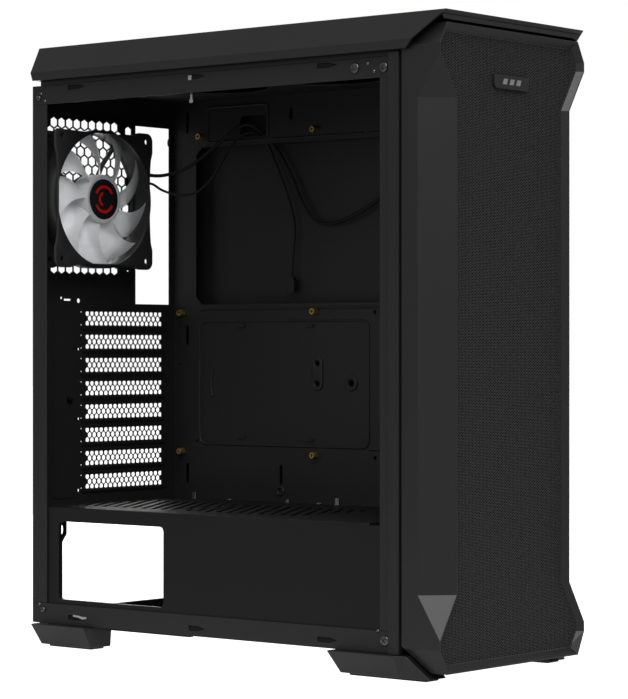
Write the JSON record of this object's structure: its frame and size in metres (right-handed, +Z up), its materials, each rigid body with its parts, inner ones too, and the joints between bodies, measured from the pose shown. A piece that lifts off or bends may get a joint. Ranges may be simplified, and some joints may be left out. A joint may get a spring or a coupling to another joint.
{
  "type": "desktop computer tower",
  "caption": "Open mid-tower computer case with a faceted mesh front, a slanted top cover, a power-supply shroud, slot covers and a rear fan; left panel off.",
  "frame": {"origin": "middle of the footprint, on the surface that the feet stand on", "axes": "+Z up, -Y the front with the mesh, -X the open left side, +Y the rear"},
  "size_m": [0.207, 0.447, 0.51],
  "materials": {
    "steel": "black textured powder coat on sheet steel",
    "plastic": "black moulded plastic with a fine grain",
    "mesh": "black perforated mesh, satin",
    "frosted": "frosted translucent fan plastic",
    "brass": "bright turned brass",
    "screw": "black zinc and bare steel",
    "cable": "black sleeved cable and nylon housings",
    "circuit_board": "dark solder mask"
  },
  "bodies": {
    "chassis": {"control_board": "circuit_board", "drive_cage": "steel", "drive_tray_1": "plastic", "drive_tray_2": "plastic", "fan_light_lead": "cable", "fan_power_lead": "cable", "fan_screw_1": "screw", "fan_screw_2": "screw", "fan_screw_3": "screw", "fan_screw_4": "screw", "floor_pan": "steel", "front_left_foot": "plastic", "front_right_foot": "plastic", "front_wall": "steel", "headphone_jack": "plastic", "lead_clip": "plastic", "light_lead_connector": "cable", "microphone_jack": "plastic", "motherboard_tray": "steel", "power_lead_connector": "cable", "psu_shroud": "steel", "rear_fan_frame": "plastic", "rear_left_foot": "plastic", "rear_panel": "steel", "rear_right_foot": "plastic", "roof_panel": "steel", "slot_clamp": "steel", "slot_clamp_screw": "screw", "slot_cover_1": "steel", "slot_cover_2": "steel", "slot_cover_3": "steel", "slot_cover_4": "steel", "slot_cover_5": "steel", "slot_cover_6": "steel", "slot_cover_7": "steel", "slot_cover_8": "steel", "standoff_1": "brass", "standoff_2": "brass", "standoff_3": "brass", "standoff_4": "brass", "standoff_5": "brass", "standoff_6": "brass", "top_cover": "plastic", "usb2_port_1": "screw", "usb2_port_2": "screw", "usb3_port": "screw"},
    "rotor": {"rear_fan_rotor": "frosted"},
    "power_button": {"power_button": "plastic"},
    "reset_button": {"reset_button": "plastic"},
    "side_panel": {"right_side_panel": "steel", "panel_thumbscrew_1": "screw", "panel_thumbscrew_2": "screw"},
    "top_filter": {"top_filter": "mesh"},
    "bezel": {"front_bezel": "plastic", "front_mesh": "mesh", "badge": "plastic"},
    "psu_filter": {"psu_filter": "mesh"}
  },
  "joints": [
    {"name": "rear_fan_spin", "type": "hinge", "parent": "chassis", "child": "rotor", "pos_m": [-0.03235, 0.2, 0.3826], "axis": [0, -1, 0], "continuous": true},
    {"name": "power_press", "type": "slide", "parent": "chassis", "child": "power_button", "axis": [0, 0, -1], "range_m": [0, 0.0012], "stiffness_N_per_m": 400, "springref_m": -0.0006},
    {"name": "reset_press", "type": "slide", "parent": "chassis", "child": "reset_button", "axis": [0, 0, -1], "range_m": [0, 0.0012], "stiffness_N_per_m": 250, "springref_m": -0.0006},
    {"name": "side_panel_slide", "type": "slide", "parent": "chassis", "child": "side_panel", "axis": [0, 1, 0], "range_m": [0, 0.02]},
    {"name": "top_filter_lift", "type": "slide", "parent": "chassis", "child": "top_filter", "axis": [0, 0, 1], "range_m": [0, 0.04]},
    {"name": "bezel_pull", "type": "slide", "parent": "chassis", "child": "bezel", "axis": [0, -1, 0], "range_m": [0, 0.03]},
    {"name": "psu_filter_slide", "type": "slide", "parent": "chassis", "child": "psu_filter", "axis": [0, 1, 0], "range_m": [0, 0.15]}
  ]
}
